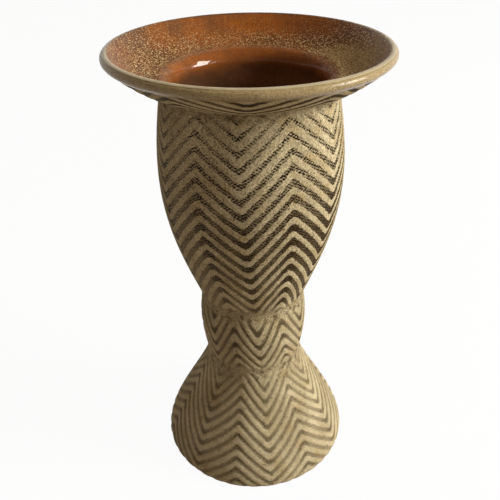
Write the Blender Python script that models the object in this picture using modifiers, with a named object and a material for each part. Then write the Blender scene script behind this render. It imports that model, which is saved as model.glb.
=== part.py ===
"""Footed ceramic mate cup: four thrown stoneware sections luted on one another, glazed inside.

Every piece is a profile of (radius, height) points, turned about +Z with a Screw modifier.
The cup stands on its foot ring at z = 0, with its axis on Z. All sizes are in metres.
"""
import math

import bpy
from mathutils import Vector

# Heights of the thrown sections, each without the slip joint above it
FOOT_HEIGHT = 0.0459
KNOP_HEIGHT = 0.0269
BODY_HEIGHT = 0.0807
RIM_RISE = 0.0092

# Outside radii, from the table up
BASE_RADIUS = 0.0388
ANKLE_RADIUS = 0.0192
KNOP_RADIUS = 0.0212
WAIST_RADIUS = 0.0200
BELLY_RADIUS = 0.0328
SHOULDER_RADIUS = 0.0296
RIM_RADIUS = 0.0465

# Heights of the widest places above the foot of their own section
KNOP_SWELL_HEIGHT = 0.0174
BELLY_HEIGHT = 0.0527

# How far the bell foot's outline runs straight on at its ankle and above its base
ANKLE_SWEEP = 0.0098
BASE_SWEEP = 0.0089

# Clay walls
FOOT_WALL = 0.0054
KNOP_WALL = 0.0055
BODY_WALL = 0.0044
RIM_WALL = 0.0036
FLOOR_THICKNESS = 0.0070
UNDERSIDE_RECESS = 0.0023
BOWL_ROUNDING = 0.0140
FOOT_EDGE_ROUNDING = 0.0014

# Luted seats: the upper section's collar drops into the mouth of the lower one
JOINT_GAP = 0.0003
LUTE_THICKNESS = 0.0009
LUTE_INSET = 0.0004
COLLAR_DEPTH = 0.0030
COLLAR_WALL = 0.0025
RIM_SEAT_WIDTH = 0.0022

# Glaze coat on the inside
GLAZE_THICKNESS = 0.0006
GLAZE_SETBACK = 0.0012

# Facets around the axis and along the curves
TURN_STEPS = 40
WALL_POINTS = 8
CURVE_POINTS = 5

# Heights where the sections meet
JOINT_HEIGHT = LUTE_THICKNESS + 2 * JOINT_GAP
KNOP_BASE = FOOT_HEIGHT + JOINT_HEIGHT
KNOP_TOP = KNOP_BASE + KNOP_HEIGHT
BODY_BASE = KNOP_TOP + JOINT_HEIGHT
BODY_TOP = BODY_BASE + BODY_HEIGHT
RIM_BASE = BODY_TOP + JOINT_HEIGHT
BOWL_FLOOR = BODY_BASE + UNDERSIDE_RECESS + FLOOR_THICKNESS
RIM_COLLAR_BASE = BODY_TOP - COLLAR_DEPTH
RIM_COLLAR_RADIUS = SHOULDER_RADIUS - RIM_SEAT_WIDTH

CLAY = (0.42, 0.33, 0.20)
SLIP = (0.25, 0.18, 0.10)
GLAZE = (0.30, 0.11, 0.04)
CLAY_ROUGHNESS = 0.85
GLAZE_ROUGHNESS = 0.15


def spread(start, end, count):
    """Evenly spaced values from start to end."""
    return [start + (end - start) * i / (count - 1) for i in range(count)]


def wave_radius(height, wide, narrow):
    """Radius on a quarter wave that is upright at its wide end; both ends are (radius, height)."""
    share = (height - wide[1]) / (narrow[1] - wide[1])
    return narrow[0] + (wide[0] - narrow[0]) * math.cos(math.pi / 2 * share)


def body_radius(height):
    """Outside of the egg-shaped body."""
    belly = (BELLY_RADIUS, BODY_BASE + BELLY_HEIGHT)
    if height > belly[1]:
        return wave_radius(height, belly, (SHOULDER_RADIUS, BODY_TOP))
    return wave_radius(height, belly, (WAIST_RADIUS, BODY_BASE))


def knop_radius(height):
    """Outside of the swelling knop."""
    swell = (KNOP_RADIUS, KNOP_BASE + KNOP_SWELL_HEIGHT)
    if height > swell[1]:
        return wave_radius(height, swell, (WAIST_RADIUS, KNOP_TOP))
    return wave_radius(height, swell, (ANKLE_RADIUS, KNOP_BASE))


def foot_curve(inset, count):
    """Points down the bell foot, set in by inset: a Bezier curve, upright at ankle and base."""
    ankle = ANKLE_RADIUS - inset
    base = BASE_RADIUS - inset
    handles = (
        Vector((ankle, FOOT_HEIGHT)),
        Vector((ankle, FOOT_HEIGHT - ANKLE_SWEEP)),
        Vector((base, FOOT_EDGE_ROUNDING + BASE_SWEEP)),
        Vector((base, FOOT_EDGE_ROUNDING)),
    )
    points = []
    for t in spread(0.0, 1.0, count):
        shares = ((1 - t) ** 3, 3 * t * (1 - t) ** 2, 3 * t * t * (1 - t), t ** 3)
        points.append(tuple(sum((s * h for s, h in zip(shares, handles)), Vector((0.0, 0.0)))))
    return points


def wall(radius_at, top, bottom, count, inset=0.0):
    """Points down a thrown wall, set in from its outside by inset."""
    return [(radius_at(height) - inset, height) for height in spread(top, bottom, count)]


def arc(centre, radius, start, end, count):
    """Points on a circle; the angles are in degrees from the outward radius, up being positive."""
    angles = [math.radians(angle) for angle in spread(start, end, count)]
    return [(centre[0] + radius * math.cos(a), centre[1] + radius * math.sin(a)) for a in angles]


def rim_point(share, offset):
    """Point on the flared rim, from its crease (0) to its edge (1), offset up from the underside."""
    span = RIM_RADIUS - SHOULDER_RADIUS
    slope = RIM_RISE * math.pi / 2 * math.sin(math.pi / 2 * share) / span
    across = math.hypot(1.0, slope)
    radius = SHOULDER_RADIUS + span * share - offset * slope / across
    height = RIM_BASE + RIM_RISE * (1 - math.cos(math.pi / 2 * share)) + offset / across
    return radius, height


def rim_surface(offset, setback=0.0):
    """The rim's underside, or its dish when offset by the wall, from the edge in to the crease."""
    edge = 1.0 - setback / (RIM_RADIUS - SHOULDER_RADIUS)
    return [rim_point(share, offset) for share in spread(edge, 0.0, WALL_POINTS)]


def lip_cap():
    """The rounded lip, from the end of the dish over the top to the end of the underside."""
    centre = rim_point(1.0, RIM_WALL / 2)
    start = Vector(rim_point(1.0, RIM_WALL)) - Vector(centre)
    lean = math.degrees(math.atan2(start.y, start.x))
    return arc(centre, RIM_WALL / 2, lean, lean - 180, CURVE_POINTS + 2)[1:-1]


def throat():
    """The rounded edge where the dish turns down into the bowl, as far as the collar's foot."""
    centre = (SHOULDER_RADIUS, RIM_BASE + RIM_WALL - BODY_WALL)
    edge = arc(centre, BODY_WALL, 90, 180, CURVE_POINTS)[1:]
    return edge + [(body_radius(RIM_COLLAR_BASE) - BODY_WALL, RIM_COLLAR_BASE)]


def bowl():
    """Inside of the body, from below the rim's collar down to the middle of its rounded floor."""
    round_top = BOWL_FLOOR + BOWL_ROUNDING
    points = wall(body_radius, RIM_COLLAR_BASE - JOINT_GAP, round_top, WALL_POINTS, BODY_WALL)
    for angle in spread(0, math.pi / 2, CURVE_POINTS + 1)[1:-1]:
        height = BOWL_FLOOR + BOWL_ROUNDING * (1 - math.sin(angle))
        points.append(((body_radius(height) - BODY_WALL) * math.cos(angle), height))
    return points + [(0.0, BOWL_FLOOR)]


def shifted(points, distance):
    """A polyline moved to its own right-hand side, ending on the axis if it did so before."""
    moved = []
    last = len(points) - 1
    for i, point in enumerate(points):
        along = Vector(points[min(i + 1, last)]) - Vector(points[max(i - 1, 0)])
        across = Vector((along.y, -along.x)).normalized()
        if point[0] == 0.0:
            across = Vector((0.0, 1.0))
        moved.append(tuple(Vector(point) + distance * across))
    return moved


def rim_profile():
    """Flared dish with a rounded lip and a collar that drops into the body's mouth."""
    collar = [(RIM_COLLAR_RADIUS, RIM_BASE), (RIM_COLLAR_RADIUS, RIM_COLLAR_BASE)]
    inside = list(reversed(rim_surface(RIM_WALL) + throat()))
    return lip_cap() + rim_surface(0.0) + collar + inside


def body_profile():
    """Egg-shaped cup: rebated mouth, closed floor and a ring tenon underneath."""
    inside = list(reversed(bowl()))
    rebate = RIM_COLLAR_RADIUS + JOINT_GAP
    mouth = [(rebate, RIM_COLLAR_BASE - JOINT_GAP), (rebate, BODY_TOP)]
    outside = wall(body_radius, BODY_TOP, BODY_BASE, WALL_POINTS + CURVE_POINTS)
    tenon = WAIST_RADIUS - KNOP_WALL - JOINT_GAP
    recess = BODY_BASE + UNDERSIDE_RECESS
    underside = [
        (tenon, BODY_BASE),
        (tenon, BODY_BASE - COLLAR_DEPTH),
        (tenon - COLLAR_WALL, BODY_BASE - COLLAR_DEPTH),
        (tenon - COLLAR_WALL, recess),
        (0.0, recess),
    ]
    return inside + mouth + outside + underside


def knop_profile():
    """Hollow swelling collar between the body and the foot, with its own collar below."""
    outside = wall(knop_radius, KNOP_TOP, KNOP_BASE, WALL_POINTS)
    collar = ANKLE_RADIUS - FOOT_WALL - JOINT_GAP
    collar_base = FOOT_HEIGHT - COLLAR_DEPTH
    seat = [
        (collar, KNOP_BASE),
        (collar, collar_base),
        (collar - COLLAR_WALL, collar_base),
        (collar - COLLAR_WALL, KNOP_BASE),
    ]
    inside = wall(knop_radius, KNOP_BASE + COLLAR_WALL, KNOP_TOP, CURVE_POINTS, KNOP_WALL)
    return outside + seat + inside


def foot_profile():
    """Hollow bell foot, open below, on a flat rest ring with a rounded outer edge."""
    outside = foot_curve(0.0, WALL_POINTS + CURVE_POINTS)
    edge_centre = (BASE_RADIUS - FOOT_EDGE_ROUNDING, FOOT_EDGE_ROUNDING)
    edge = arc(edge_centre, FOOT_EDGE_ROUNDING, 0, -90, CURVE_POINTS - 1)[1:]
    inside = list(reversed(foot_curve(FOOT_WALL, WALL_POINTS)))
    return outside + edge + [(BASE_RADIUS - FOOT_WALL, 0.0)] + inside


def lute_profile(outer, inner, seat):
    """Ring of slip with a round outer face, lying clear of the seat below and the section above."""
    bottom = seat + JOINT_GAP
    top = bottom + LUTE_THICKNESS
    half = LUTE_THICKNESS / 2
    face = arc((outer - LUTE_INSET - half, bottom + half), half, 90, -90, CURVE_POINTS)
    return face + [(inner, bottom), (inner, top)]


def glaze_profile():
    """Glassy coat from the lip to the bowl's floor, the visible face first and its back after."""
    clay = rim_surface(RIM_WALL, GLAZE_SETBACK) + throat() + bowl()[1:]
    face = shifted(clay, JOINT_GAP + GLAZE_THICKNESS)
    back = shifted(clay, JOINT_GAP)
    return list(reversed(face)) + back


def finish(name, colour, roughness):
    """Principled material in the colour of the fired piece."""
    material = bpy.data.materials.new(name)
    material.use_nodes = True
    shader = material.node_tree.nodes["Principled BSDF"]
    shader.inputs["Base Color"].default_value = (*colour, 1.0)
    shader.inputs["Roughness"].default_value = roughness
    shader.inputs["Metallic"].default_value = 0.0
    material.diffuse_color = (*colour, 1.0)
    return material


def turned(name, profile, material, cup, collection):
    """Named object: the profile as a wire, turned once round the axis by a Screw modifier."""
    count = len(profile)
    edges = [(i, i + 1) for i in range(count - 1)]
    on_axis = profile[0][0] == 0.0
    if not on_axis:
        edges.append((count - 1, 0))
    mesh = bpy.data.meshes.new(name)
    mesh.from_pydata([(radius, 0.0, height) for radius, height in profile], edges, [])
    mesh.materials.append(material)
    piece = bpy.data.objects.new(name, mesh)
    collection.objects.link(piece)
    piece.parent = cup
    screw = piece.modifiers.new("Turned", "SCREW")
    screw.axis = "Z"
    screw.angle = 2 * math.pi
    screw.steps = TURN_STEPS
    screw.render_steps = TURN_STEPS
    screw.use_merge_vertices = True
    screw.merge_threshold = 1e-6
    screw.use_smooth_shade = True
    return piece


def main():
    for leftover in list(bpy.data.objects):
        bpy.data.objects.remove(leftover, do_unlink=True)
    collection = bpy.data.collections.new("ceramic_mate_cup")
    bpy.context.scene.collection.children.link(collection)
    cup = bpy.data.objects.new("cup_axis", None)
    collection.objects.link(cup)

    sections = {
        "flared_rim": rim_profile(),
        "cup_body": body_profile(),
        "waist_knop": knop_profile(),
        "bell_foot": foot_profile(),
    }
    for name, profile in sections.items():
        turned(name, profile, finish(name, CLAY, CLAY_ROUGHNESS), cup, collection)

    lutes = {
        "rim_lute": lute_profile(SHOULDER_RADIUS, RIM_COLLAR_RADIUS + JOINT_GAP, BODY_TOP),
        "waist_lute": lute_profile(WAIST_RADIUS, WAIST_RADIUS - KNOP_WALL, KNOP_TOP),
        "foot_lute": lute_profile(ANKLE_RADIUS, ANKLE_RADIUS - FOOT_WALL, FOOT_HEIGHT),
    }
    for name, profile in lutes.items():
        turned(name, profile, finish(name, SLIP, CLAY_ROUGHNESS), cup, collection)

    lining = finish("glaze_lining", GLAZE, GLAZE_ROUGHNESS)
    turned("glaze_lining", glaze_profile(), lining, cup, collection)


main()
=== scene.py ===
"""Stoneware mate cup: four thrown sections with carved zigzag bands, slip joints and a glazed bowl."""

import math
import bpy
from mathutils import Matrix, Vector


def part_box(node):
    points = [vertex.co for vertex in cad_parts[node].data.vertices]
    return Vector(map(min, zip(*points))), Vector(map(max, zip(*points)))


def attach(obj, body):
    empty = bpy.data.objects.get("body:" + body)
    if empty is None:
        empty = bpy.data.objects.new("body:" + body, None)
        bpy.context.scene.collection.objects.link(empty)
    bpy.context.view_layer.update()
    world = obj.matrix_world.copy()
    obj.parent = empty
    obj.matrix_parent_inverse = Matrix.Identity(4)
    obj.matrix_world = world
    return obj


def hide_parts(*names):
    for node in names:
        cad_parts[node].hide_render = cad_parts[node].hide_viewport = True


bl_info = {
    "name": "Stoneware Mate Cup",
    "version": (1, 0, 0),
    "blender": (4, 5, 0),
    "location": "View3D > Sidebar > Mate Cup",
    "description": "Builds a thrown mate cup with carved zigzag bands, a glazed bowl and a plain stage",
    "category": "Add Mesh",
}

from typing import NamedTuple

import bmesh
import bpy
import numpy as np
from bpy.props import FloatProperty, FloatVectorProperty, IntProperty, PointerProperty
from bpy.types import Operator, Panel, PropertyGroup
from mathutils import Matrix, Vector

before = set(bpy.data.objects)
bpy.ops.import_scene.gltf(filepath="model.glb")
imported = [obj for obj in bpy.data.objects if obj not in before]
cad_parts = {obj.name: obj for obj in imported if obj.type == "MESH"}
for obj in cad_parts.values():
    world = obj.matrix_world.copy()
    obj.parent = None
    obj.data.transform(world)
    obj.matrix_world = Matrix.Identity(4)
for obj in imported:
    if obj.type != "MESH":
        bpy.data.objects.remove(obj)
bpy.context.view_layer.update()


class Carving(NamedTuple):
    """The zigzag bands of one section. Lists of values go from its top to its bottom.

    Angles are in degrees from the front, to the right positive. A corner of the zigzag is its angle at
    the top, its angle at the bottom and its height in bands. The listed corners are the front ones; the
    rest of each line goes round the back in even strides.
    """

    pitch: float  # height of the top band
    growth: float  # logarithm of each band's height over the one above it
    start: float  # phase of the bands at the top of the section
    climb: float  # height of the zigzag at the back, in bands
    corners: tuple
    widths: tuple  # shares of a band either side of its middle
    softness: float  # of a band's edge, in bands
    fills: tuple  # strength of the brown
    dashes: tuple  # strength of the dark tool marks
    wiped: tuple  # smeared lengths at the top and at the bottom
    depth: float  # of the cut
    lean: float  # how much stronger the bands are on the right
    rounding: tuple  # of the corners, in degrees
    sand: float  # strength of the sandy grains


RIM_CARVING = Carving(
    pitch=0.0058,
    growth=-0.26,
    start=0.13,
    climb=3.2,
    corners=((-31, -26, 3.3), (-1, -3, 0.0), (31, 36, 3.3)),
    widths=(0.22, 0.22),
    softness=0.07,
    fills=(0.95, 0.95),
    dashes=(0.5, 0.6),
    wiped=(0.0, 0.0),
    depth=0.0001,
    lean=0.4,
    rounding=(1.2, 1.2),
    sand=0.55,
)
BODY_CARVING = Carving(
    pitch=0.0047,
    growth=0.0236,
    start=0.42,
    climb=3.2,
    corners=((-62.5, -59, -1.05), (-33, -23.5, 2.25), (-7.7, 1.8, 0.0), (23, 28, 3.2), (56.5, 53.5, 0.0)),
    widths=(0.155, 0.22, 0.265, 0.255, 0.235),
    softness=0.06,
    fills=(0.1, 0.3, 0.76, 0.70, 0.56),
    dashes=(0.6, 1.15, 0.95, 0.6, 0.35),
    wiped=(0.004, 0.005),
    depth=0.00013,
    lean=0.44,
    rounding=(1.0, 1.0, 1.2, 2.2, 3.0),
    sand=1.0,
)
KNOP_CARVING = Carving(
    pitch=0.0078,
    growth=-0.094,
    start=0.73,
    climb=2.9,
    corners=((-47, -48, -0.45), (-21.5, -15.5, 2.6), (2.5, 9.5, 0.0), (30, 42, 2.9), (59, 73.5, -0.15)),
    widths=(0.21, 0.20),
    softness=0.11,
    fills=(0.58, 0.52),
    dashes=(0.4, 0.3),
    wiped=(0.006, 0.005),
    depth=0.00022,
    lean=0.0,
    rounding=(2.6, 2.2),
    sand=0.8,
)
FOOT_CARVING = Carving(
    pitch=0.0056,
    growth=-0.02,
    start=0.345,
    climb=3.1,
    corners=(
        (-76, -73, 3.05),
        (-44, -39.5, -0.5),
        (-15, -12, 2.55),
        (10, 8.5, 0.0),
        (38, 34, 2.85),
        (68, 62, -0.5),
    ),
    widths=(0.21, 0.22),
    softness=0.14,
    fills=(0.40, 0.45),
    dashes=(0.2, 0.28),
    wiped=(0.011, 0.0),
    depth=0.00024,
    lean=0.0,
    rounding=(2.2, 1.4, 1.1),
    sand=0.5,
)

# The zigzag: degrees between its corners at the back, how late a corner moves sideways on its way down,
# and the shares of its neighbours that round it off.
STRIDE = 30.0
CORNER_BEND = 1.6
ROUNDING_SHARES = ((-2, 1 / 16), (-1, 1 / 4), (0, 3 / 8), (1, 1 / 4), (2, 1 / 16))

# The cut: its soft edge in bands, the way over which it runs out at a section's ends, the least height
# of a shrinking band against the first, the least smear, and the slight wobble of the thrown wall.
CUT_EDGE = 0.08
RUN_OUT = 0.002
LEAST_BAND = 0.05
LEAST_SMEAR = 1e-5
WOBBLE = 0.00006
WOBBLE_LOBES = 3
WOBBLE_TWIST = 90

# Painted shade at the zigzag's corners, where the cut is recessed: the degrees from a corner between
# which it grows, how much stronger the fill and dashes are there, and the turn from which the bands lean.
CORNER_SHADE_NEAR = (7.0, 1.0)
CORNER_SHADE_FILL = 0.35
CORNER_SHADE_DASH = 1.2
LEAN_TURN = 5.0

# Tool marks: how many go round a section, their spacing down it, and how far they stray and tear.
DASHES_ROUND = 110
DASH_SPACING = 0.00105
DASH_STRAY = 7.0
DASH_STRENGTH = 1.5
DASH_TEAR = 5.6

# Joints: half the gap between sections, half the height of a joint in the solids, how far the rings of
# slip stand in there, how far the walls sweep out to meet, and the steps that give their slope.
SEAM = 0.00006
HALF_JOINT = 0.00075
LUTE_INSET = 0.0004
JOINT_SWEEP = 0.0003
SLOPE_STEPS = 4

# Slip: the ring under the rim, the smears over the two lower joints, and the unevenness of both.
RING_BEAD = 0.0003
RING_INSET = 0.00018
RING_DEPTH = 0.003
RING_HALF = 0.0002
SMEAR_REACH = 0.0017
SMEAR_LIFT = 0.00005
SMEAR_FALL = 2.6
SMEAR_ROOT = 0.0003
SLIP_UNEVEN = 0.00005
SLIP_RIPPLE = 2600.0

# Shares of the way over the lip, from the dish: where the glaze ends and where the bands begin.
LIP_GLAZED = 0.36
LIP_CARVED = 0.55
LIP_POINTS = 12

# The lip's polish: where it starts and is full, in from the rim's edge, its gleam on the left, and the
# sines of the turn between which it gains the rest.
POLISH_INSET = (0.0016, 0.0004)
LEFT_GLEAM = 0.3
GLEAM_SIDE = (-0.3, 0.5)

# The bowl: how far its wall starts below the throat, and the first angle of its rounding in radians.
THROAT_BLEND = 0.002
ROUNDING_START = 0.05

# Heights between which the foot's edge is worn, and how much.
WEAR_HEIGHT = (0.0035, 0.0004)
WEAR = 0.7

# The glaze: its clearance from the clay at the face and the back, and where it reaches full thickness.
FACE_CLEAR = 0.00005
BACK_CLEAR = 0.00003
COAT_RUN = (-0.0004, 0.002)

# Where the glaze changes, each from none to full. Drops are below the throat, radii are from the axis,
# runs are from the glaze's end on the lip, and sides and fronts are sines and cosines of the turn.
THROAT_RISE = 0.003
# Glaze pools thicker below the throat, and that darkening is partly painted shade.
POOL_SHADE_DROP = (-0.002, 0.010)
# Painted light: a lighter brown on the bowl's shaded back and right wall, between these drops, sides and
# fronts.
PAINTED_LIGHT_DROP = (0.002, 0.010)
PAINTED_LIGHT_FLOOR = (0.032, 0.014)
PAINTED_LIGHT_SIDE = (-0.5, 0.1)
PAINTED_LIGHT_FRONT = (0.2, -0.6)
# Painted shade on the left of the dish, growing between these radii.
LEFT_SHADE_RADIUS = (0.023, 0.033)
CREST_RUN = (0.002, 0.0011)
FLECKS_INNER = (0.028, 0.0312)
FLECKS_OUTER = (0.041, 0.034)
THIN_SHEEN_RADIUS = (0.0245, 0.0315)
DULL_DROP = (0.010, 0.0045)
GLINT_TURN = -137.0
GLINT_FRONT = (0.88, 0.97)
BARE_RUN = 0.001
BARE_LEAN = 0.0007
BARE_WAVE = 0.0001

# Spacing of the points down the outlines, and the faces round the slip and the glaze.
BODY_SPACING = 0.00046
KNOP_SPACING = 0.0004
FOOT_SPACING = 0.00045
RIM_SPACING = 0.0004
DISH_SPACING = 0.0006
INSIDE_SPACING = 0.0012
SLIP_STEPS = 320
GLAZE_STEPS = 300

# A turned piece is made of alike sectors. Points nearer than these are one point, in a mesh or a line.
SECTORS = 10
MERGED = 2e-6
SAME_POINT = 4e-6

# The stage: floor and wall, the lamps' distance and aim, how much stronger the lip's lamp is than the
# smallest ones, and the camera's place, tilt, roll and shift.
FLOOR_REACH = 4.0
FLOOR_DROP = 0.00005
FLOOR_GLOW = 0.95
WALL_RADIUS = 3.9
WALL_HEIGHT = 1.45
LAMP_DISTANCE = 1.2
LAMP_AIM = Vector((0.0, 0.0, 0.12))
LIP_GLINT = 10
WHITE = (1.0, 1.0, 1.0)
CAMERA_PLACE = (0.0, -0.2017, 0.2206)
CAMERA_TILT = 57.47
CAMERA_ROLL = -0.93
CAMERA_SHIFT = -0.0046


def metres(name, description, value):
    """A length among the settings."""
    return FloatProperty(name=name, description=description, default=value, unit="LENGTH", precision=5)


def amount(name, description, value):
    """A number among the settings that is never negative."""
    return FloatProperty(name=name, description=description, default=value, min=0.0)


def tint(name, description, value):
    """A colour among the settings."""
    opaque = (*value, 1.0)
    look = {"subtype": "COLOR", "size": 4, "min": 0.0, "max": 1.0}
    return FloatVectorProperty(name=name, description=description, default=opaque, **look)


class MateCupForm(PropertyGroup):
    """Sizes of the clay sections that the CAD boxes don't give."""

    belly_height: metres("Belly Height", "Height of the widest ring of the body above the waist", 0.0527)
    knop_swell: metres("Knop Swell", "Height of the widest ring of the knop above the ankle", 0.0174)
    ankle_sweep: metres("Ankle Sweep", "How far the bell foot stays upright below the ankle", 0.0098)
    base_sweep: metres("Base Sweep", "How far the bell foot stays upright above its edge", 0.0089)
    foot_edge: metres("Foot Edge", "Rounding of the bell foot's outer edge", 0.0014)
    body_wall: metres("Body Wall", "Thickness of the body's wall", 0.0044)
    foot_wall: metres("Foot Wall", "Thickness of the foot's and the knop's wall", 0.0054)
    rim_wall: metres("Rim Wall", "Thickness of the flared rim and twice the radius of its lip", 0.0030)
    rim_rise: metres("Rim Rise", "Rise of the rim's underside from its crease to its edge", 0.0092)
    rim_edge: metres("Rim Edge", "Radius at which the rim's underside ends and the lip begins", 0.0465)
    bowl_floor: metres("Bowl Floor", "Thickness of clay under the bowl", 0.0093)
    bowl_rounding: metres("Bowl Rounding", "Height of the turn from the bowl's wall to its floor", 0.0140)
    glaze_coat: metres("Glaze Coat", "Thickness of the glaze", 0.0004)
    carving_depth: amount("Carving Depth", "Scales how far the bands are cut into the clay", 1.0)
    turn_steps: IntProperty(
        name="Turn Steps", description="Faces round each clay section", default=440, min=64, max=480
    )


class MateCupFinish(PropertyGroup):
    """Colours of the clay, the bands, the slip and the glaze."""

    clay: tint("Clay", "Main colour of the bare stoneware", (0.40, 0.33, 0.20))
    clay_pale: tint("Pale Clay", "Paler clouds in the stoneware, and its worn edges", (0.53, 0.45, 0.285))
    clay_warm: tint("Warm Clay", "Warm brown of kiln flashes and the polished lip", (0.36, 0.26, 0.115))
    band: tint("Band", "Brown of the carved bands, their smears and the grit", (0.072, 0.045, 0.017))
    dash: tint("Dash", "Darkest brown of the tool marks in the bands", (0.012, 0.006, 0.002))
    slip: tint("Slip", "Slip wiped over the joints", (0.33, 0.26, 0.155))
    glaze: tint("Glaze", "Main amber of the glaze", (0.275, 0.078, 0.011))
    # Deep Glaze is also the painted shade in the bowl and on the dish's left, and the darker end on the
    # lip.
    glaze_deep_and_shade: tint("Deep Glaze", "Dark brown of thick glaze, gaps and pits", (0.10, 0.043, 0.021))
    # Painted light: a lighter brown on the bowl's back and right wall, where the lamps leave it in shade.
    glaze_painted_light: tint("Glaze in the Well", "Brown of the bowl's shaded back wall", (0.26, 0.107, 0.046))
    # Glaze Fleck is also the painted sheen spread over the dish's left and right sides.
    glaze_fleck_and_sheen: tint("Glaze Fleck", "Flecks, and the glaze where they lie densest", (0.62, 0.42, 0.155))
    # Painted glints: the palest grains stand in for sparkle of the window light.
    glaze_glint: tint("Glaze Spark", "Palest grains in the glaze", (0.80, 0.61, 0.32))


class MateCupStage(PropertyGroup):
    """The floor, the lamps, the light from all round and the lens."""

    floor: tint("Floor", "Colour of the floor", (0.86, 0.86, 0.86))
    bounce: tint("Bounce", "Colour of the light that the floor sends up", (0.42, 0.35, 0.28))
    key_power: amount("Key Power", "Power of the window light at the right, in watts", 22.0)
    back_power: amount("Back Power", "Power of the broad light behind the cup, in watts", 0.9)
    glint_power: amount("Glint Power", "Power of each of the two smallest lamps, in watts", 0.05)
    room: amount("Room Light", "Strength of the light from all round", 0.28)
    room_colour: tint("Room Colour", "Colour of the light from all round", (1.0, 0.84, 0.70))
    lens: amount("Lens", "Focal length on a 36 mm sensor, in millimetres", 44.64)


class MateCupSettings(PropertyGroup):
    """All the settings of the cup."""

    form: PointerProperty(type=MateCupForm)
    finish: PointerProperty(type=MateCupFinish)
    stage: PointerProperty(type=MateCupStage)


def reach(node):
    """Greatest radius, lowest and highest height of a CAD node."""
    low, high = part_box(node)
    return high.x, low.z, high.z


def crease(lute):
    """Radius and height of the joint that a lute fills."""
    radius, low, high = reach(lute)
    return radius + LUTE_INSET, (low + high) / 2


def arc(centre, radius, start, end, count):
    """Points on a circle; the angles are in degrees from the outward radius, up being positive."""
    angles = np.radians(np.linspace(start, end, count))
    return [(centre[0] + radius * math.cos(a), centre[1] + radius * math.sin(a)) for a in angles]


def swelling(top, wide, bottom, count=160):
    """Points down a wall that swells to its widest ring; the ends and the ring are (radius, height)."""
    points = []
    for height in np.linspace(top[1], bottom[1], count):
        end = top if height > wide[1] else bottom
        share = (height - wide[1]) / (end[1] - wide[1])
        points.append((end[0] + (wide[0] - end[0]) * math.cos(math.pi / 2 * share), height))
    return points


def bell(form, inset, count=160):
    """Points down the bell foot, set in by inset: a Bezier curve, upright at both its ends."""
    ankle, top = crease("foot_lute")
    top -= SEAM
    base = reach("bell_foot")[0]
    low = form.foot_edge
    ends = (
        Vector((ankle - inset, top)),
        Vector((ankle - inset, top - form.ankle_sweep)),
        Vector((base - inset, low + form.base_sweep)),
        Vector((base - inset, low)),
    )
    points = []
    for t in np.linspace(0.0, 1.0, count).tolist():
        shares = ((1 - t) ** 3, 3 * t * (1 - t) ** 2, 3 * t * t * (1 - t), t ** 3)
        points.append(tuple(sum((s * e for s, e in zip(shares, ends)), Vector((0.0, 0.0)))))
    return points


def runs(points):
    """How far along its line each point lies."""
    return np.concatenate(([0.0], np.cumsum(np.hypot(*np.diff(points, axis=0).T))))


def even(points, spacing):
    """The same line with its points evenly apart."""
    points = np.array(points)
    run = runs(points)
    marks = np.linspace(0.0, run[-1], max(2, round(run[-1] / spacing) + 1))
    return np.column_stack([np.interp(marks, run, column) for column in points.T])


def eased(points, rise):
    """A wall whose first end is swept upright, so that it meets its neighbour without a sharp crease."""
    points = np.array(points)
    depth = np.abs(points[:, 1] - points[0, 1])
    slope = (points[SLOPE_STEPS, 0] - points[0, 0]) / depth[SLOPE_STEPS]
    sweep = 2 * rise / slope
    near = depth < sweep
    points[near, 0] += slope * (depth[near] ** 2 + sweep ** 2) / (2 * sweep) - slope * depth[near]
    return points


def shifted(points, distances):
    """A line moved to its own right-hand side, ending on the axis if it did so before."""
    points = np.array(points)
    ahead = np.gradient(points, axis=0)
    across = np.column_stack((ahead[:, 1], -ahead[:, 0]))
    across /= np.linalg.norm(across, axis=1)[:, None]
    across[points[:, 0] == 0.0] = (0.0, 1.0)
    return points + across * np.reshape(distances, (-1, 1))


def body_outside(form):
    """Outside of the body from the rim's crease down to the waist."""
    top = crease("rim_lute")
    bottom = crease("waist_lute")
    return swelling(top, (reach("cup_body")[0], bottom[1] + form.belly_height), bottom)


def body_line(form):
    """The body's outside in even steps, swept upright at the waist."""
    return even(eased(body_outside(form)[::-1], JOINT_SWEEP)[::-1], BODY_SPACING)


def knop_line(form):
    """The knop's outside in even steps, swept upright at the waist."""
    top = crease("waist_lute")
    bottom = crease("foot_lute")
    wide = (reach("waist_knop")[0], bottom[1] + form.knop_swell)
    return even(eased(swelling(top, wide, bottom), JOINT_SWEEP), KNOP_SPACING)


def foot_line(form):
    """The bell foot's outside in even steps, from the ankle to its edge."""
    return even(bell(form, 0.0), FOOT_SPACING)


def rim_line(form, offset, count=60):
    """The rim's underside, or its dish when offset by the wall, from the edge in to the crease."""
    radius, height = crease("rim_lute")
    span = form.rim_edge - radius
    points = []
    for share in np.linspace(1.0, 0.0, count):
        slope = form.rim_rise * math.pi / 2 * math.sin(math.pi / 2 * share) / span
        across = math.hypot(1.0, slope)
        lift = HALF_JOINT + form.rim_rise * (1 - math.cos(math.pi / 2 * share))
        points.append((radius + span * share - offset * slope / across, height + lift + offset / across))
    return points


def lip_line(form, start, end, count):
    """The rounded lip between two shares of its way from the dish to the underside."""
    inner = Vector(rim_line(form, form.rim_wall)[0])
    outer = Vector(rim_line(form, 0.0)[0])
    centre = (inner + outer) / 2
    lean = math.degrees(math.atan2(inner.y - centre.y, inner.x - centre.x))
    return arc(centre, form.rim_wall / 2, lean - 180 * start, lean - 180 * end, count)


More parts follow.
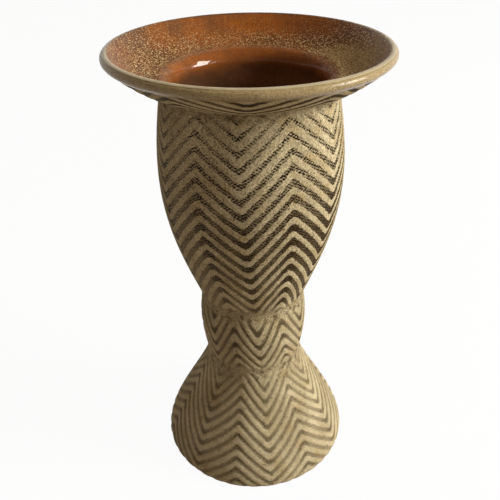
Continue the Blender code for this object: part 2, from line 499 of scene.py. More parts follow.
def inside_line(form):
    """The clay under the glaze, from the end of the dish down to the middle of the bowl's floor."""
    radius, height = crease("rim_lute")
    dish = even(rim_line(form, form.rim_wall), DISH_SPACING)
    turn = (radius, height + HALF_JOINT + form.rim_wall - form.body_wall)
    throat = arc(turn, form.body_wall, 90, 180, 14)[1:]
    floor = crease("waist_lute")[1] + HALF_JOINT + form.bowl_floor
    wall = [(r - form.body_wall, z) for r, z in body_outside(form)]
    upper = [p for p in wall if floor + form.bowl_rounding < p[1] < turn[1] - THROAT_BLEND]
    radii, heights = zip(*wall[::-1])
    lower = []
    for angle in np.linspace(ROUNDING_START, math.pi / 2, 12)[:-1]:
        z = floor + form.bowl_rounding * (1 - math.sin(angle))
        lower.append((np.interp(z, heights, radii) * math.cos(angle), z))
    return np.array(list(dish) + throat + upper[::4] + lower + [(0.0, floor)])


def placed(name, data):
    """A new object in the scene."""
    thing = bpy.data.objects.new(name, data)
    bpy.context.scene.collection.objects.link(thing)
    return thing


def turned(name, rows, steps, closed):
    """A solid turned round the Z axis. A row is a point of its outline: (radius, height, run, carved)."""
    mesh = bpy.data.meshes.new(name)
    shape = bmesh.new()
    run = shape.verts.layers.float.new("run")
    carved = shape.verts.layers.float.new("carved")
    ring = []
    for radius, height, distance, share in rows:
        vert = shape.verts.new((0.0, radius, height))
        vert[run] = distance
        vert[carved] = share
        ring.append(vert)
    for a, b in zip(ring, ring[1:]):
        shape.edges.new((a, b))
    if closed:
        shape.edges.new((ring[-1], ring[0]))
    line = shape.verts[:] + shape.edges[:]
    angle = math.tau / SECTORS
    bmesh.ops.spin(shape, geom=line, axis=(0.0, 0.0, 1.0), angle=angle, steps=steps // SECTORS)
    sector = shape.verts[:] + shape.edges[:] + shape.faces[:]
    for k in range(1, SECTORS):
        copy = bmesh.ops.duplicate(shape, geom=sector)["geom"]
        verts = [item for item in copy if isinstance(item, bmesh.types.BMVert)]
        bmesh.ops.rotate(shape, verts=verts, matrix=Matrix.Rotation(angle * k, 3, "Z"))
    bmesh.ops.remove_doubles(shape, verts=shape.verts[:], dist=MERGED)
    bmesh.ops.recalc_face_normals(shape, faces=shape.faces[:])
    if any(not edge.is_manifold for edge in shape.edges):
        raise RuntimeError(f"{name} is not closed")
    if shape.calc_volume(signed=True) < 0.0:
        bmesh.ops.reverse_faces(shape, faces=shape.faces[:])
    shape.to_mesh(mesh)
    shape.free()
    mesh.shade_smooth()
    return placed(name, mesh)


def fetch(items, key, kind=np.float32, width=1):
    """One property of all the items, as a row of numbers."""
    values = np.zeros(len(items) * width, kind)
    items.foreach_get(key, values)
    return values


def read(mesh, name):
    """A float attribute of the mesh's points."""
    return fetch(mesh.attributes[name].data, "value").astype(float)


def write(mesh, name, values):
    """Puts a float attribute on the mesh's points."""
    layer = mesh.attributes.get(name) or mesh.attributes.new(name, "FLOAT", "POINT")
    layer.data.foreach_set("value", np.asarray(values, np.float32))


def places(mesh):
    """The mesh's points, and each one's angle from the front in degrees."""
    points = fetch(mesh.vertices, "co", width=3).reshape(-1, 3).astype(float)
    return points, np.degrees(np.arctan2(points[:, 0], -points[:, 1]))


def push(mesh, distances):
    """Moves the mesh's points along their normals."""
    points, _ = places(mesh)
    normals = fetch(mesh.vertices, "normal", width=3).reshape(-1, 3)
    points += normals * distances[:, None]
    mesh.vertices.foreach_set("co", points.astype(np.float32).ravel())
    mesh.update()


def unwrap(mesh):
    """A UV map: the share of a turn across and the run down."""
    layer = mesh.uv_layers.new(name="turn")
    _, angles = places(mesh)
    corners = fetch(mesh.loops, "vertex_index", np.int32)
    starts = fetch(mesh.polygons, "loop_start", np.int32)
    totals = fetch(mesh.polygons, "loop_total", np.int32)
    turn = angles[corners] / 360.0
    first = np.repeat(turn[starts], totals)
    across = first + (turn - first + 0.5) % 1.0 - 0.5
    down = read(mesh, "run")[corners]
    layer.uv.foreach_set("vector", np.column_stack((across, down)).astype(np.float32).ravel())


def whole_turn(carving):
    """The corners of a zigzag all the way round, the last being the first again."""
    front = list(carving.corners)
    first, last = front[0], front[-1]
    count = round((first[0] + 360 - last[0]) / STRIDE)
    high = last[2] > carving.climb / 2
    low_last = last[2] - carving.climb * high
    low_first = first[2] - carving.climb * (first[2] > carving.climb / 2)
    back = []
    for k in range(1, count):
        share = k / count
        raised = high if k % 2 == 0 else not high
        height = low_last + (low_first - low_last) * share + carving.climb * raised
        top = last[0] + (first[0] + 360 - last[0]) * share
        bottom = last[1] + (first[1] + 360 - last[1]) * share
        back.append((top, bottom, height))
    return np.array(front + back + [(first[0] + 360, first[1] + 360, first[2])])


def bent(corners, shares):
    """The corners' angles at each point's share of the way down."""
    bend = np.clip(shares, 0.0, 1.0) ** CORNER_BEND
    return corners[:, 0, None] + (corners[:, 1] - corners[:, 0])[:, None] * bend


def zigzag(corners, angles, shares):
    """Height of the zigzag line at each point, in bands."""
    marks = bent(corners, shares)
    angles = marks[0] + (angles - marks[0]) % 360.0
    height = np.zeros(len(angles))
    for low, high, a, b in zip(marks, marks[1:], corners[:, 2], corners[1:, 2]):
        inside = (angles >= low) & (angles <= high)
        height = np.where(inside, a + (b - a) * (angles - low) / (high - low), height)
    return height


def smoothstep(low, high, values):
    """0 below low, 1 above high and a soft step between."""
    share = np.clip((values - low) / (high - low), 0.0, 1.0)
    return share * share * (3 - 2 * share)


def along(values, shares):
    """Evenly spread values read at shares of the way along them."""
    return np.interp(shares, np.linspace(0.0, 1.0, len(values)), values)


def carve(piece, carving, depth):
    """Cuts the zigzag bands into a section and keeps what its finish needs to colour them."""
    mesh = piece.data
    _, angles = places(mesh)
    run = read(mesh, "run")
    carved = read(mesh, "carved")
    length = run.max()
    shares = np.clip(run / length, 0.0, 1.0)
    corners = whole_turn(carving)
    rounding = along(carving.rounding, shares)
    height = np.zeros(len(run))
    for side, share in ROUNDING_SHARES:
        height += zigzag(corners, angles + side * rounding, shares) * share
    growth = np.maximum(1 + carving.growth * run / carving.pitch, LEAST_BAND)
    phase = np.log(growth) / carving.growth + carving.start + height
    width = along(carving.widths, shares)
    off_centre = np.abs((phase + 0.5) % 1.0 - 0.5)
    cut = smoothstep(CUT_EDGE, -CUT_EDGE, off_centre - width) * carved
    ends = smoothstep(0.0, RUN_OUT, run) * smoothstep(0.0, RUN_OUT, length - run)
    top, bottom = (way + LEAST_SMEAR for way in carving.wiped)
    wiped = np.maximum(smoothstep(top, 0.0, run), smoothstep(bottom, 0.0, length - run))
    marks = bent(corners, shares)
    off_corner = np.abs((angles - marks + 180.0) % 360.0 - 180.0).min(axis=0)
    # Painted shade: the fill and the dashes are darker near each corner of the zigzag, where the cut is
    # recessed.
    corner_shade = smoothstep(*CORNER_SHADE_NEAR, off_corner)
    press = carved * (1.0 + carving.lean * np.sin(np.radians(angles - LEAN_TURN)))
    write(mesh, "band", phase)
    write(mesh, "width", width)
    write(mesh, "soft", np.full_like(run, carving.softness))
    write(mesh, "fill", along(carving.fills, shares) * press * (1.0 + CORNER_SHADE_FILL * corner_shade))
    write(mesh, "dash", along(carving.dashes, shares) * press * (1.0 + CORNER_SHADE_DASH * corner_shade))
    write(mesh, "wiped", wiped * carved)
    write(mesh, "sandy", np.full_like(run, carving.sand))
    wobble = WOBBLE * np.sin(np.radians(angles) * WOBBLE_LOBES + run * WOBBLE_TWIST) * carved
    push(mesh, (wobble - depth * carving.depth * cut) * ends)


def outline(*stretches):
    """One outline from stretches of (points, run at the first point), or None where nothing is carved."""
    rows = []
    for points, start in stretches:
        points = np.array(points)
        carved = float(start is not None)
        run = start + runs(points) if carved else np.zeros(len(points))
        for (radius, height), distance in zip(points, run):
            if rows and math.hypot(rows[-1][0] - radius, rows[-1][1] - height) < SAME_POINT:
                continue
            rows.append((float(radius), float(height), float(distance), carved))
    return rows


def set_inputs(tree, node, inputs):
    """Sets a node's inputs or links them to other nodes."""
    for key, value in inputs.items():
        if isinstance(value, bpy.types.NodeSocket):
            tree.links.new(value, node.inputs[key])
        else:
            node.inputs[key].default_value = value


def add(tree, kind, inputs=None, **settings):
    """A node with its settings made and its inputs set or linked."""
    made = tree.nodes.new(kind)
    for key, value in settings.items():
        setattr(made, key, value)
    set_inputs(tree, made, inputs or {})
    return made


def calc(tree, operation, *values):
    """The result of a Math node."""
    return add(tree, "ShaderNodeMath", dict(enumerate(values)), operation=operation).outputs[0]


def times(tree, a, b):
    """Two values multiplied."""
    return calc(tree, "MULTIPLY", a, b)


def plus(tree, a, b):
    """Two values added."""
    return calc(tree, "ADD", a, b)


def minus(tree, a, b):
    """A value less another."""
    return calc(tree, "SUBTRACT", a, b)


def bumps(tree, height, strength, distance):
    """Normals of a surface with small bumps."""
    inputs = {"Height": height, "Strength": strength, "Distance": distance}
    return add(tree, "ShaderNodeBump", inputs).outputs[0]


def step(tree, value, low, high, start=0.0, end=1.0):
    """A soft step of a value between two limits."""
    inputs = {"Value": value, "From Min": low, "From Max": high, "To Min": start, "To Max": end}
    return add(tree, "ShaderNodeMapRange", inputs, interpolation_type="SMOOTHSTEP").outputs["Result"]


def mixed(tree, share, a, b, blend="MIX"):
    """Two colours mixed by a share."""
    inputs = {0: share, 6: a, 7: b}
    return add(tree, "ShaderNodeMix", inputs, data_type="RGBA", blend_type=blend).outputs[2]


def noise(tree, vector, scale, detail=2.0, roughness=0.5):
    """Noise from 0 to 1."""
    inputs = {"Vector": vector, "Scale": scale, "Detail": detail, "Roughness": roughness}
    return add(tree, "ShaderNodeTexNoise", inputs).outputs["Fac"]


def attribute(tree, name):
    """A float attribute of the piece."""
    return add(tree, "ShaderNodeAttribute", attribute_name=name).outputs["Fac"]


def new_material(name):
    """An empty material; returns it, its node tree and its surface shader."""
    material = bpy.data.materials.new(name)
    material.use_nodes = True
    tree = material.node_tree
    shader = next(n for n in tree.nodes if n.type == "BSDF_PRINCIPLED")
    return material, tree, shader


def bare_clay(tree, where, finish):
    """Clouded stoneware: its colour, and the noises of its sand, its grit and its kiln flashes."""
    clouds = noise(tree, where, scale=70.0, detail=4.0)
    flashes = noise(tree, where, scale=160.0, detail=3.0)
    sand = noise(tree, where, scale=1800.0, detail=4.0, roughness=0.75)
    grit = noise(tree, where, scale=800.0, detail=2.0)
    clay = mixed(tree, step(tree, clouds, 0.35, 0.7), finish.clay, finish.clay_pale)
    clay = mixed(tree, step(tree, flashes, 0.5, 0.75, 0.0, 0.6), clay, finish.clay_warm)
    clay = mixed(tree, step(tree, grit, 0.60, 0.74, 0.0, 0.6), clay, finish.band)
    return clay, sand, grit, flashes


def blotted(tree, where, share, clay, finish):
    """Clay with blots of the bands' brown wiped over it."""
    blots = step(tree, noise(tree, where, scale=420.0, detail=3.0), 0.5, 0.66, 0.2, 0.8)
    return mixed(tree, times(tree, blots, share), clay, finish.band)


def banded_clay(finish):
    """Bare sandy stoneware with the dark carved bands."""
    material, tree, shader = new_material("banded_stoneware")
    where = add(tree, "ShaderNodeTexCoord").outputs["Object"]
    turn = add(tree, "ShaderNodeUVMap", uv_map="turn").outputs["UV"]
    clay, sand, grit, flashes = bare_clay(tree, where, finish)

    edge = noise(tree, where, scale=700.0, detail=4.0, roughness=0.65)
    ragged = times(tree, minus(tree, edge, 0.5), 0.34)
    fraction = calc(tree, "FRACT", plus(tree, attribute(tree, "band"), 0.5))
    off_centre = calc(tree, "ABSOLUTE", minus(tree, fraction, 0.5))
    inside = minus(tree, plus(tree, attribute(tree, "width"), ragged), off_centre)
    soft = attribute(tree, "soft")
    band = step(tree, inside, times(tree, soft, -1.0), soft)
    smear = times(tree, attribute(tree, "wiped"), step(tree, flashes, 0.3, 0.6, 0.45, 1.0))
    band = times(tree, band, minus(tree, 1.0, smear))

    parts = add(tree, "ShaderNodeSeparateXYZ", {0: turn})
    stray = times(tree, noise(tree, where, scale=300.0, detail=3.0), DASH_STRAY)
    across = plus(tree, times(tree, parts.outputs[0], math.tau * DASHES_ROUND), stray)
    down = plus(tree, times(tree, parts.outputs[1], math.tau / DASH_SPACING), stray)
    grid = times(tree, calc(tree, "COSINE", across), calc(tree, "COSINE", down))
    stipple = noise(tree, where, scale=1450.0, detail=2.0, roughness=0.6)
    torn = times(tree, minus(tree, stipple, 0.5), DASH_TEAR)
    dashes = step(tree, plus(tree, times(tree, grid, DASH_STRENGTH), torn), -0.1, 0.15)

    filled = times(tree, band, attribute(tree, "fill"))
    dashed = times(tree, times(tree, band, dashes), attribute(tree, "dash"))
    clay = blotted(tree, where, attribute(tree, "wiped"), clay, finish)
    colour = mixed(tree, filled, clay, finish.band)
    colour = mixed(tree, dashed, colour, finish.dash)
    polish = attribute(tree, "polish")
    colour = mixed(tree, times(tree, polish, 0.85), colour, finish.clay_warm)
    grains = times(tree, step(tree, sand, 0.3, 0.7, -0.58, 0.55), attribute(tree, "sandy"))
    colour = mixed(tree, 1.0, colour, plus(tree, grains, 1.0), "MULTIPLY")
    wear = times(tree, attribute(tree, "wear"), step(tree, grit, 0.42, 0.6))
    colour = mixed(tree, wear, colour, finish.clay_pale)

    rough = step(tree, sand, 0.2, 0.8, 0.65, 0.92)
    rough = minus(tree, rough, times(tree, polish, 0.58))
    height = plus(tree, sand, times(tree, grit, 0.5))
    height = minus(tree, height, times(tree, dashed, 0.4))
    height = minus(tree, height, times(tree, filled, 0.5))
    set_inputs(tree, shader, {
        "Base Color": colour,
        "Roughness": rough,
        "Normal": bumps(tree, height, strength=0.7, distance=0.0004),
        "Specular IOR Level": 0.1,
        "Coat Weight": times(tree, attribute(tree, "gleam"), step(tree, sand, 0.35, 0.65, 0.15, 0.7)),
        "Coat Roughness": 0.16,
    })
    return material


def wiped_slip(finish):
    """Slip wiped over the joints, of the same sandy clay, with blots of the bands' brown."""
    material, tree, shader = new_material("wiped_slip")
    where = add(tree, "ShaderNodeTexCoord").outputs["Object"]
    clay, sand, grit, _ = bare_clay(tree, where, finish)
    clay = mixed(tree, 0.25, clay, finish.slip)
    colour = blotted(tree, where, 1.0, clay, finish)
    colour = mixed(tree, 1.0, colour, step(tree, sand, 0.3, 0.7, 0.5, 1.5), "MULTIPLY")
    height = plus(tree, sand, times(tree, grit, 0.5))
    set_inputs(tree, shader, {
        "Base Color": colour,
        "Roughness": step(tree, sand, 0.2, 0.8, 0.65, 0.92),
        "Normal": bumps(tree, height, strength=0.7, distance=0.0004),
        "Specular IOR Level": 0.1,
    })
    return material


def amber_glaze(finish):
    """Glossy amber glaze, flecked on the dish with painted sheen and glints, dark where it pools in the
    bowl with painted shade, and painted lighter on the bowl's shaded wall.
    """
    material, tree, shader = new_material("amber_glaze")
    where = add(tree, "ShaderNodeTexCoord").outputs["Object"]
    pool_and_shade = attribute(tree, "pool_and_shade")
    clouds = noise(tree, where, scale=110.0, detail=4.0)
    flecks = noise(tree, where, scale=1750.0, detail=2.0, roughness=0.6)
    pits = noise(tree, where, scale=1100.0, detail=2.0)
    # Darker where the glaze pools in the bowl, partly painted shade, and on the dish's left as painted
    # shade.
    thick_and_shade = plus(tree, pool_and_shade, step(tree, clouds, 0.4, 0.7, 0.0, 0.5))
    colour = mixed(tree, thick_and_shade, finish.glaze, finish.glaze_deep_and_shade)
    # Painted light: a lighter brown on the bowl's shaded back and right wall.
    colour = mixed(tree, attribute(tree, "painted_light"), colour, finish.glaze_painted_light)
    thin_and_sheen = attribute(tree, "thin_and_sheen")
    flecked = times(tree, step(tree, flecks, 0.5, 0.57, 0.0, 0.65), thin_and_sheen)
    # Painted sheen: the dish's left and right sides are veiled in the fleck colour.
    painted_sheen = step(tree, thin_and_sheen, 0.5, 1.05)
    worn = minus(tree, step(tree, thin_and_sheen, 0.1, 0.5), times(tree, painted_sheen, 0.3))
    gaps = times(tree, step(tree, flecks, 0.5, 0.42, 0.0, 0.85), worn)
    colour = mixed(tree, times(tree, painted_sheen, 0.9), colour, finish.glaze_fleck_and_sheen)
    colour = mixed(tree, flecked, colour, finish.glaze_fleck_and_sheen)
    colour = mixed(tree, gaps, colour, finish.glaze_deep_and_shade)
    # Painted glints on the palest grains of the dish.
    painted_glints = times(tree, step(tree, flecks, 0.56, 0.62, 0.0, 1.8), thin_and_sheen)
    colour = mixed(tree, painted_glints, colour, finish.glaze_glint)
    colour = mixed(tree, step(tree, pits, 0.54, 0.68, 0.0, 0.6), colour, finish.glaze_deep_and_shade)
    colour = mixed(tree, attribute(tree, "edge"), colour, finish.clay_pale)
    waves = noise(tree, where, scale=130.0, detail=2.0)
    grain = times(tree, flecks, thin_and_sheen)
    swell = plus(tree, waves, times(tree, grain, 2.2))
    ripple = plus(tree, waves, grain)
    set_inputs(tree, shader, {
        "Base Color": colour,
        "Roughness": step(tree, flecks, 0.4, 0.75, 0.1, 0.24),
        "Normal": bumps(tree, swell, strength=0.8, distance=0.0007),
        "Specular IOR Level": 0.1,
        "Coat Weight": times(tree, attribute(tree, "shine"), step(tree, thin_and_sheen, 0.05, 0.4, 0.6, 0.03)),
        "Coat Roughness": 0.04,
        "Coat Normal": bumps(tree, ripple, strength=0.6, distance=0.0006),
    })
    return material


def shared(name, maker):
    """The material of that name, made the first time it is asked for."""
    return bpy.data.materials.get(name) or maker(bpy.context.scene.mate_cup.finish)


def hand_over(piece, node, material):
    """Gives a finished piece its material and ties it to the CAD."""
    piece.data.materials.append(material)
    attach(piece, "root")
    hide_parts(node)


def finish_section(piece, carving, node):
    """Carves and colours a clay section and ties it to the CAD."""
    carve(piece, carving, bpy.context.scene.mate_cup.form.carving_depth)
    unwrap(piece.data)
    hand_over(piece, node, shared("banded_stoneware", banded_clay))


class MATECUP_OT_rim(Operator):
    """Flared rim with a rounded lip and bands underneath"""

    bl_idname = "matecup.rim"
    bl_label = "Flared Rim"

    def execute(self, context):
        form = context.scene.mate_cup.form
        radius, height = crease("rim_lute")
        lip = lip_line(form, 0.0, LIP_CARVED, LIP_POINTS)
        lower = lip_line(form, LIP_CARVED, 1.0, LIP_POINTS)
        turn = (1.0 - LIP_CARVED) * math.pi * form.rim_wall / 2
        under = even(rim_line(form, 0.0), RIM_SPACING)
        under = np.vstack((under, (radius, height + SEAM)))
        inner = [p for p in inside_line(form) if p[1] > height + SEAM]
        seat = [(inner[-1][0], height + SEAM)]
        outside = ((lip, None), (lower, -turn), (under, 0.0))
        rows = outline(*outside, (seat, None), (inner[::-1], None))
        piece = turned("flared_rim_clay", rows[:-1], form.turn_steps, True)
        points, _ = places(piece.data)
        out = np.hypot(points[:, 0], points[:, 1])
        polish = smoothstep(*POLISH_INSET, form.rim_edge - out)
        gain = smoothstep(*GLEAM_SIDE, points[:, 0] / out)
        write(piece.data, "polish", polish)
        write(piece.data, "gleam", polish * (LEFT_GLEAM + (1.0 - LEFT_GLEAM) * gain))
        finish_section(piece, RIM_CARVING, "flared_rim")
        return {"FINISHED"}


class MATECUP_OT_body(Operator):
    """Egg-shaped cup with zigzag bands"""

    bl_idname = "matecup.body"
    bl_label = "Cup Body"

    def execute(self, context):
        form = context.scene.mate_cup.form
        outside = body_line(form)
        outside[0, 1] -= SEAM
        outside[-1, 1] += SEAM
        inside = [p for p in inside_line(form) if p[1] < outside[0, 1]]
        mouth = [(inside[0][0], outside[0, 1])]
        under = [(outside[-1, 0], outside[-1, 1]), (0.0, outside[-1, 1])]
        bowl = ((inside[::-1], None), (mouth, None))
        rows = outline(*bowl, (outside, 0.0), (under, None))
        piece = turned("cup_body_clay", rows, form.turn_steps, False)
        finish_section(piece, BODY_CARVING, "cup_body")
        return {"FINISHED"}


class MATECUP_OT_knop(Operator):
    """Hollow swelling collar between the body and the foot"""

    bl_idname = "matecup.knop"
    bl_label = "Waist Knop"

    def execute(self, context):
        form = context.scene.mate_cup.form
        outside = knop_line(form)
        outside[0, 1] -= SEAM
        outside[-1, 1] += SEAM
        inside = [(r - form.foot_wall, z) for r, z in outside[::-4]]
        rows = outline((outside, 0.0), (inside, None))
        piece = turned("waist_knop_clay", rows, form.turn_steps, True)
        finish_section(piece, KNOP_CARVING, "waist_knop")
        return {"FINISHED"}


class MATECUP_OT_foot(Operator):
    """Hollow bell foot, open below, with softer bands"""

    bl_idname = "matecup.foot"
    bl_label = "Bell Foot"

    def execute(self, context):
        form = context.scene.mate_cup.form
        base = reach("bell_foot")[0]
        outside = foot_line(form)
        edge = arc((base - form.foot_edge, form.foot_edge), form.foot_edge, 0, -90, 8)
        length = runs(outside)[-1]
        inside = even(bell(form, form.foot_wall), INSIDE_SPACING)[::-1]
        rest = [(base - form.foot_wall, 0.0)]
        rows = outline((outside, 0.0), (edge, length), (rest, None), (inside, None))
        piece = turned("bell_foot_clay", rows, form.turn_steps, True)
        points, _ = places(piece.data)
        write(piece.data, "wear", smoothstep(*WEAR_HEIGHT, points[:, 2]) * WEAR)
        finish_section(piece, FOOT_CARVING, "bell_foot")
        return {"FINISHED"}


class MATECUP_OT_lutes(Operator):
    """Slip in the joints: a narrow ring under the rim and smears over the two lower ones"""

    bl_idname = "matecup.lutes"
    bl_label = "Slip Joints"

    def execute(self, context):
        form = context.scene.mate_cup.form
        radius, height = crease("rim_lute")
        face = arc((radius - RING_INSET, height), RING_BEAD, 80, -80, 7)
        root = radius - RING_DEPTH
        self.make_slip("rim_lute", face, [(root, height - RING_HALF), (root, height + RING_HALF)])
        knop = knop_line(form)
        self.make_smear("waist_lute", np.vstack((body_line(form), knop)))
        self.make_smear("foot_lute", np.vstack((knop, foot_line(form))))
        return {"FINISHED"}

    def make_smear(self, node, wall):
        """Slip wiped over a joint, thickest on it and thinning out on the walls above and below."""
        share = np.linspace(-1.0, 1.0, 17)
        heights = crease(node)[1] - SMEAR_REACH * share
        radii = np.interp(-heights, -wall[:, 1], wall[:, 0])
        lift = SMEAR_LIFT * (1.0 - SMEAR_FALL * share ** 2)
        back = np.column_stack((radii - SMEAR_ROOT, heights))[::-2]
        self.make_slip(node, np.column_stack((radii + lift, heights)), back)

    def make_slip(self, node, face, back):
        """A ring of slip with an uneven surface."""
        rows = outline((face, None), (back, None))
        piece = turned(node + "_slip", rows, SLIP_STEPS, True)
        points, angles = places(piece.data)
        turns = np.radians(angles)
        rise = points[:, 2] * SLIP_RIPPLE
        uneven = np.sin(turns * 23 + rise) * np.sin(turns * 7 - rise * 0.7 + 1.0)
        push(piece.data, SLIP_UNEVEN * uneven)
        hand_over(piece, node, shared("wiped_slip", wiped_slip))


class MATECUP_OT_glaze(Operator):
    """Glassy coat from the lip to the bowl's floor"""

    bl_idname = "matecup.glaze"
    bl_label = "Glaze Lining"

    def execute(self, context):
        form = context.scene.mate_cup.form
        clay = np.vstack((lip_line(form, LIP_GLAZED, 0.0, LIP_POINTS), inside_line(form)[1:]))
        run = runs(clay)
        face = shifted(clay, FACE_CLEAR + form.glaze_coat * smoothstep(*COAT_RUN, run))
        back = shifted(clay, BACK_CLEAR)
        rows = [(r, z, d, 0.0) for (r, z), d in zip(face[::-1], run[::-1])]
        rows += [(r, z, d, 0.0) for (r, z), d in zip(back, run)]
        piece = turned("glaze_lining_coat", rows, GLAZE_STEPS, False)
        self.mark(piece.data)
        unwrap(piece.data)
        hand_over(piece, "glaze_lining", shared("amber_glaze", amber_glaze))
        return {"FINISHED"}

    def mark(self, mesh):
        """Keeps where the glaze pools thick, where shade and light are painted on it, where it is flecked
        with painted sheen and glints, where it is glossy, and where it is darker or drawn back at its end
        on the lip.
        """
        points, angles = places(mesh)
        turns = np.radians(angles)
        side = np.sin(turns)
        front = np.cos(turns)
        out = np.hypot(points[:, 0], points[:, 1])
        drop = crease("rim_lute")[1] + THROAT_RISE - points[:, 2]
        run = read(mesh, "run")
        # Painted light on the bowl's back and right wall, which the window light at the right leaves in
        # shade.
        painted_light = smoothstep(*PAINTED_LIGHT_DROP, drop) * smoothstep(*PAINTED_LIGHT_FLOOR, drop)
        write(mesh, "painted_light", painted_light * smoothstep(*PAINTED_LIGHT_SIDE, side) * smoothstep(*PAINTED_LIGHT_FRONT, front))
        # Painted shade on the left of the dish, which the window light at the right would light.
        left = 0.4 * np.maximum(-side, 0.0) * smoothstep(*LEFT_SHADE_RADIUS, out)
        crest = 0.8 * smoothstep(*CREST_RUN, run)
        # Pooled glaze with painted shade in the bowl, painted shade on the left, darker at its end on the
        # lip.
        write(mesh, "pool_and_shade", np.maximum.reduce((smoothstep(*POOL_SHADE_DROP, drop), left, crest)))
        # Flecks on the dish, with painted sheen and glints strongest on its left and right sides.
        ring = smoothstep(*FLECKS_INNER, out) * smoothstep(*FLECKS_OUTER, out)
        thin_and_sheen = 0.04 + 0.5 * side ** 4 + (0.22 + 0.18 * side ** 2) * ring
        write(mesh, "thin_and_sheen", thin_and_sheen * (1.0 + 0.45 * side) * smoothstep(*THIN_SHEEN_RADIUS, out))
        glint = smoothstep(*GLINT_FRONT, np.cos(turns - math.radians(GLINT_TURN)))
        write(mesh, "shine", np.maximum(glint, 1.0 - 0.85 * smoothstep(*DULL_DROP, drop)))
        bare = BARE_RUN + BARE_LEAN * front + BARE_WAVE * np.sin(turns * 9 + np.sin(turns * 4))
        write(mesh, "edge", smoothstep(bare + 0.0003, bare - 0.0001, run) * 0.9)


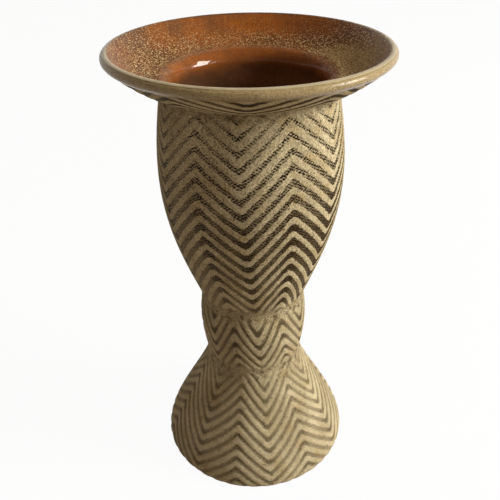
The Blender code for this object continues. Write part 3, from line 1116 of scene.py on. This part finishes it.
class MATECUP_OT_stage(Operator):
    """Pale floor, white backdrop, lamps and camera"""

    bl_idname = "matecup.stage"
    bl_label = "Stage"

    def execute(self, context):
        stage = context.scene.mate_cup.stage
        glint = stage.glint_power
        self.make_floor(stage)
        self.make_backdrop(stage)
        self.make_light("window_light", stage.key_power, (0.55, 0.62), 81, 24, (1.0, 0.98, 0.91))
        self.make_light("back_light", stage.back_power, (1.2, 0.6), 173, 27, (1.0, 0.80, 0.55))
        self.make_light("top_glint", glint, (0.04, 0.04), -28, 74, WHITE)
        self.make_light("lip_glint", glint * LIP_GLINT, (0.16, 0.08), 58, 17, WHITE)
        self.make_light("left_glint", glint, (0.04, 0.03), -91, 20, WHITE)
        world = bpy.data.worlds.new("room")
        world.use_nodes = True
        tree = world.node_tree
        set_inputs(tree, tree.nodes["Background"], {"Color": stage.room_colour, "Strength": stage.room})
        context.scene.world = world
        self.make_camera(context, stage)
        context.scene.view_settings.view_transform = "Standard"
        return {"FINISHED"}

    def plain_sight(self, tree):
        """1 for what the camera sees straight or in a mirror or glass, 0 for light on the cup."""
        path = add(tree, "ShaderNodeLightPath").outputs
        seen = calc(tree, "MAXIMUM", path["Is Camera Ray"], path["Is Glossy Ray"])
        return calc(tree, "MAXIMUM", seen, path["Is Transmission Ray"])

    def make_floor(self, stage):
        """Wide level floor that is near white to the camera and keeps the cup's shadow."""
        shape = bmesh.new()
        place = Matrix.Translation((0.0, 0.0, -FLOOR_DROP))
        bmesh.ops.create_grid(shape, x_segments=1, y_segments=1, size=FLOOR_REACH, matrix=place)
        material, tree, shader = new_material("pale_floor")
        seen = self.plain_sight(tree)
        colour = mixed(tree, seen, stage.bounce, stage.floor)
        set_inputs(tree, shader, {"Base Color": colour, "Roughness": 0.9, "Specular IOR Level": 0.1})
        glow = add(tree, "ShaderNodeEmission", {"Color": (*WHITE, 1.0), "Strength": 1.0})
        inputs = {0: times(tree, seen, FLOOR_GLOW), 1: shader.outputs[0], 2: glow.outputs[0]}
        self.put("floor", shape, material, add(tree, "ShaderNodeMixShader", inputs))

    def make_backdrop(self, stage):
        """Wall round the floor that is white to the camera and gives the cup the room's own light."""
        shape = bmesh.new()
        bmesh.ops.create_circle(shape, segments=96, radius=WALL_RADIUS)
        wall = bmesh.ops.extrude_edge_only(shape, edges=shape.edges[:])["geom"]
        top = [part for part in wall if isinstance(part, bmesh.types.BMVert)]
        bmesh.ops.translate(shape, verts=top, vec=(0.0, 0.0, WALL_HEIGHT))
        material, tree, _ = new_material("white_backdrop")
        room = [part * stage.room for part in stage.room_colour[:3]] + [1.0]
        colour = mixed(tree, self.plain_sight(tree), room, (*WHITE, 1.0))
        glow = add(tree, "ShaderNodeEmission", {"Color": colour, "Strength": 1.0})
        self.put("backdrop", shape, material, glow)

    def put(self, name, shape, material, surface):
        """Adds a piece of the stage with its surface."""
        tree = material.node_tree
        end = next(n for n in tree.nodes if n.type == "OUTPUT_MATERIAL")
        tree.links.new(surface.outputs[0], end.inputs["Surface"])
        mesh = bpy.data.meshes.new(name)
        shape.to_mesh(mesh)
        shape.free()
        mesh.materials.append(material)
        placed(name, mesh)

    def make_light(self, name, power, size, turn, rise, colour):
        """A light that faces the cup from a turn to the right of the front and a rise, in degrees."""
        light = bpy.data.lights.new(name, "AREA")
        light.energy = power
        light.shape = "RECTANGLE"
        light.size, light.size_y = size
        light.color = colour
        lamp = placed(name, light)
        a, e = math.radians(turn), math.radians(rise)
        away = Vector((math.sin(a) * math.cos(e), -math.cos(a) * math.cos(e), math.sin(e)))
        lamp.location = LAMP_AIM + away * LAMP_DISTANCE
        lamp.rotation_euler = away.to_track_quat("Z", "Y").to_euler()

    def make_camera(self, context, stage):
        """Looks down on the cup from the front, a little out of level."""
        data = bpy.data.cameras.new("camera")
        data.lens = stage.lens
        data.sensor_width = 36.0
        data.shift_x = CAMERA_SHIFT
        data.clip_start = 0.01
        camera = placed("camera", data)
        camera.location = CAMERA_PLACE
        tilt = Matrix.Rotation(math.radians(CAMERA_TILT), 3, "X")
        roll = Matrix.Rotation(math.radians(CAMERA_ROLL), 3, "Z")
        camera.rotation_euler = (tilt @ roll).to_euler()
        context.scene.camera = camera


class MATECUP_PT_panel(Panel):
    """Lists the cup's settings and its pieces"""

    bl_idname = "MATECUP_PT_panel"
    bl_label = "Mate Cup"
    bl_space_type = "VIEW_3D"
    bl_region_type = "UI"
    bl_category = "Mate Cup"

    def draw(self, context):
        layout = self.layout
        settings = context.scene.mate_cup
        for operator in OPERATORS:
            layout.operator(operator.bl_idname)
        for group in (settings.form, settings.finish, settings.stage):
            box = layout.box()
            for key in group.bl_rna.properties.keys():
                if key not in ("rna_type", "name"):
                    box.prop(group, key)


OPERATORS = (
    MATECUP_OT_rim,
    MATECUP_OT_body,
    MATECUP_OT_knop,
    MATECUP_OT_foot,
    MATECUP_OT_lutes,
    MATECUP_OT_glaze,
    MATECUP_OT_stage,
)
CLASSES = (MateCupForm, MateCupFinish, MateCupStage, MateCupSettings) + OPERATORS + (MATECUP_PT_panel,)


def register():
    """Adds the classes and the scene's settings."""
    for cls in CLASSES:
        bpy.utils.register_class(cls)
    bpy.types.Scene.mate_cup = PointerProperty(type=MateCupSettings)


def unregister():
    """Takes the classes and the settings away again."""
    del bpy.types.Scene.mate_cup
    for cls in reversed(CLASSES):
        bpy.utils.unregister_class(cls)


def main():
    """Builds the cup and its stage."""
    register()
    bpy.ops.matecup.rim()
    bpy.ops.matecup.body()
    bpy.ops.matecup.knop()
    bpy.ops.matecup.foot()
    bpy.ops.matecup.lutes()
    bpy.ops.matecup.glaze()
    bpy.ops.matecup.stage()


if __name__ == "__main__":
    main()
